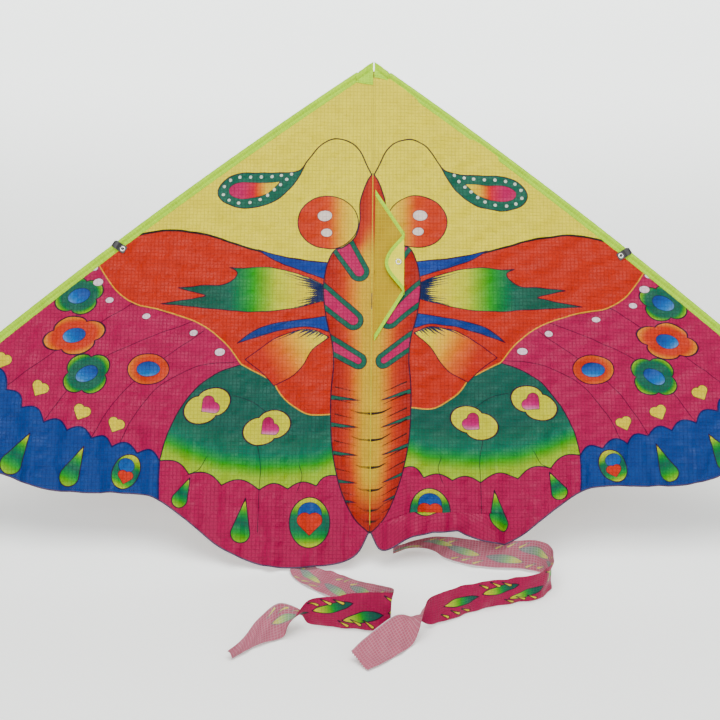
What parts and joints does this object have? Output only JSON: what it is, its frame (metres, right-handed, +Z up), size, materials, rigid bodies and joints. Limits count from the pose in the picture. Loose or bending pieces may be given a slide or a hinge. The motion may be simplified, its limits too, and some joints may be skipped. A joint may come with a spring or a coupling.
{
  "type": "delta kite",
  "caption": "Delta kite with a printed butterfly sail on a leaning rod frame, with wings that fold, a swinging keel flap with an eyelet, and ribbon tails.",
  "frame": {"origin": "middle of the flat end of the spine's foot cap, on the spine's axis", "axes": "+X along the span to the viewer's right, +Z up, the printed face looks towards -Y and the spine leans back towards +Y by 35 degrees"},
  "size_m": [1.4076, 0.6835, 0.6358],
  "materials": {
    "printed_sail": "glossy dye-printed polyester ripstop, butterfly print in yellow, red, magenta, blue and green",
    "printed_ribbon": "glossy printed polyester ripstop, magenta with leaf strokes, pale reverse",
    "hem_edge": "narrow folded hem with a dark printed edge line",
    "neon_tape": "fluorescent yellow-green woven tape with a darker stitch line",
    "sleeve_cloth": "plain yellow polyester channel tape",
    "keel_cloth": "thin translucent yellow polyester",
    "glass_fibre": "pultruded black glass fibre rod",
    "black_vinyl": "soft black vinyl",
    "clear_vinyl": "cloudy soft tube",
    "rivet_metal": "nickel-plated brass, bright"
  },
  "bodies": {
    "spine": {"spine_rod": "glass_fibre", "spine_cap_foot": "black_vinyl", "spine_cap_nose": "black_vinyl", "spine_sleeve_upper": "sleeve_cloth", "spine_sleeve_lower": "sleeve_cloth", "spreader_hub": "black_vinyl", "spreader_joiner_left": "clear_vinyl", "spreader_joiner_right": "clear_vinyl", "tail_tab": "neon_tape", "tail_ribbon_left": "printed_ribbon", "tail_ribbon_right": "printed_ribbon"},
    "left_wing": {"sail_left": "printed_sail", "hem_left": "hem_edge", "leading_edge_rod_left": "glass_fibre", "leading_edge_sleeve_left": "neon_tape", "rod_cap_nose_left": "black_vinyl", "rod_cap_tip_left": "black_vinyl", "clip_tab_left": "black_vinyl", "clip_rivet_left": "rivet_metal", "spreader_rod_left": "glass_fibre", "spreader_cap_left": "black_vinyl", "nose_patch_left": "neon_tape"},
    "right_wing": {"sail_right": "printed_sail", "hem_right": "hem_edge", "leading_edge_rod_right": "glass_fibre", "leading_edge_sleeve_right": "neon_tape", "rod_cap_nose_right": "black_vinyl", "rod_cap_tip_right": "black_vinyl", "clip_tab_right": "black_vinyl", "clip_rivet_right": "rivet_metal", "spreader_rod_right": "glass_fibre", "spreader_cap_right": "black_vinyl", "nose_patch_right": "neon_tape"},
    "keel": {"keel_panel": "keel_cloth", "keel_binding_top": "neon_tape", "keel_binding_foot": "neon_tape"},
    "keel_corner": {"keel_corner_panel": "keel_cloth", "keel_corner_binding": "neon_tape", "keel_eyelet": "rivet_metal"}
  },
  "joints": [
    {"name": "left_wing_fold", "type": "hinge", "parent": "spine", "child": "left_wing", "pos_m": [0, -0.00422, 0.00295], "axis": [0, 0.5736, 0.8192], "range_deg": [0, 30], "deforming": ["spreader_joiner_left"]},
    {"name": "right_wing_fold", "type": "hinge", "parent": "spine", "child": "right_wing", "pos_m": [0, -0.00422, 0.00295], "axis": [0, -0.5736, -0.8192], "range_deg": [0, 30], "deforming": ["spreader_joiner_right"]},
    {"name": "keel_swing", "type": "hinge", "parent": "right_wing", "child": "keel", "pos_m": [0, -0.00508, 0.00356], "axis": [0, -0.5736, -0.8192], "range_deg": [0, 86]},
    {"name": "keel_corner_unfold", "type": "hinge", "parent": "keel", "child": "keel_corner", "pos_m": [0.04729, 0.22057, 0.33386], "axis": [0, 0.5736, 0.8192], "range_deg": [0, 170]}
  ]
}
